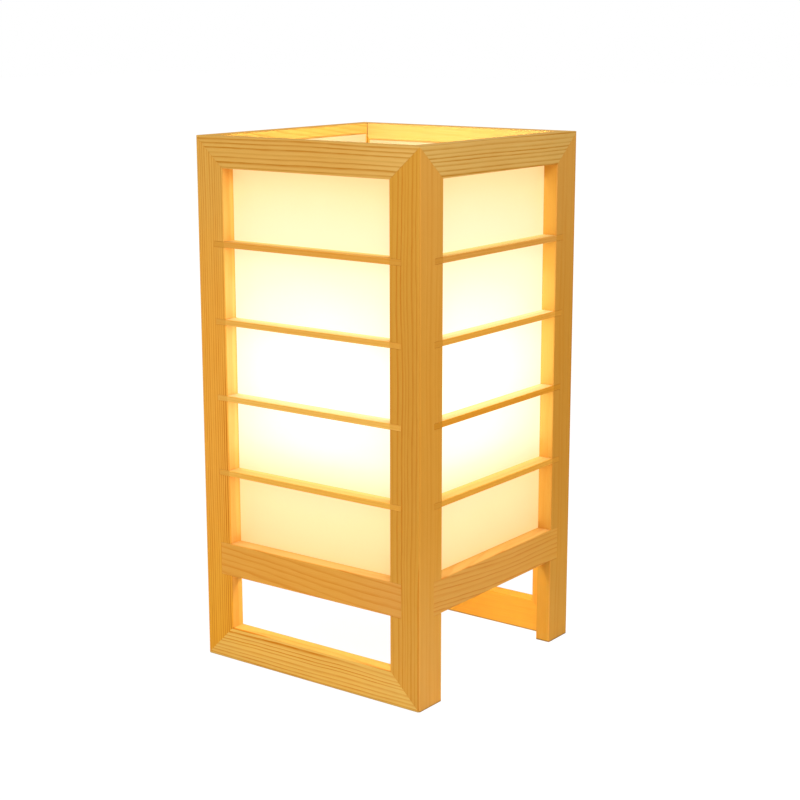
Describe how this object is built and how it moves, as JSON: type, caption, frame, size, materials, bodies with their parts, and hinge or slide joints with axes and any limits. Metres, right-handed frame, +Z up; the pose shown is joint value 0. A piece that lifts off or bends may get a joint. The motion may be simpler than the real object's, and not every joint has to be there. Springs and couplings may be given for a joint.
{
  "type": "table lamp",
  "caption": "Square open-topped wooden table lamp: mitred lattice frames with thin horizontal bars over translucent paper, on short legs, with a screw-in bulb inside.",
  "frame": {"origin": "on the floor under the middle of the lamp", "axes": "+Z up, +X along the front frame towards the right frame, +Y from the front frame to the back frame"},
  "size_m": [0.152, 0.152, 0.3],
  "materials": {
    "pine_frame": "planed, clear satin",
    "pine_bar": "planed, clear satin",
    "pine_batten": "planed, bare",
    "shoji_paper": "laminated, translucent",
    "zinc_steel": "zinc plated",
    "black_plastic": "moulded, matt",
    "white_ceramic": "glazed",
    "brass": "stamped",
    "frosted_glass": "frosted, lit",
    "clear_glass": "clear",
    "filament": "phosphor coated",
    "nickel_cap": "nickel plated",
    "black_glass": "glossy black glass",
    "solder": "tinned"
  },
  "bodies": {
    "frame": {"front_left_stile": "pine_frame", "front_right_stile": "pine_frame", "front_top_rail": "pine_frame", "front_mid_rail": "pine_frame", "right_left_stile": "pine_frame", "right_right_stile": "pine_frame", "right_top_rail": "pine_frame", "right_mid_rail": "pine_frame", "back_left_stile": "pine_frame", "back_right_stile": "pine_frame", "back_top_rail": "pine_frame", "back_mid_rail": "pine_frame", "left_left_stile": "pine_frame", "left_right_stile": "pine_frame", "left_top_rail": "pine_frame", "left_mid_rail": "pine_frame", "front_bottom_rail": "pine_frame", "back_bottom_rail": "pine_frame", "front_kumiko_1": "pine_bar", "front_kumiko_2": "pine_bar", "front_kumiko_3": "pine_bar", "front_kumiko_4": "pine_bar", "right_kumiko_1": "pine_bar", "right_kumiko_2": "pine_bar", "right_kumiko_3": "pine_bar", "right_kumiko_4": "pine_bar", "back_kumiko_1": "pine_bar", "back_kumiko_2": "pine_bar", "back_kumiko_3": "pine_bar", "back_kumiko_4": "pine_bar", "left_kumiko_1": "pine_bar", "left_kumiko_2": "pine_bar", "left_kumiko_3": "pine_bar", "left_kumiko_4": "pine_bar", "front_paper": "shoji_paper", "right_paper": "shoji_paper", "back_paper": "shoji_paper", "left_paper": "shoji_paper", "batten": "pine_batten", "threaded_tube": "zinc_steel", "washer": "zinc_steel", "hex_nut": "zinc_steel", "cord_grip": "black_plastic", "clamp_screw": "zinc_steel", "holder_base": "black_plastic", "holder_skirt": "black_plastic", "holder_core": "white_ceramic", "thread_sleeve": "brass", "centre_contact": "brass", "terminals": "brass"},
    "bulb": {"bulb_glass": "frosted_glass", "bulb_stem": "clear_glass", "bulb_filaments": "filament", "bulb_cap": "nickel_cap", "bulb_insulator": "black_glass", "bulb_contact": "solder"}
  },
  "joints": [
    {"name": "bulb_lift", "type": "slide", "parent": "frame", "child": "bulb", "axis": [0, 0, 1], "range_m": [0, 0.215]}
  ]
}
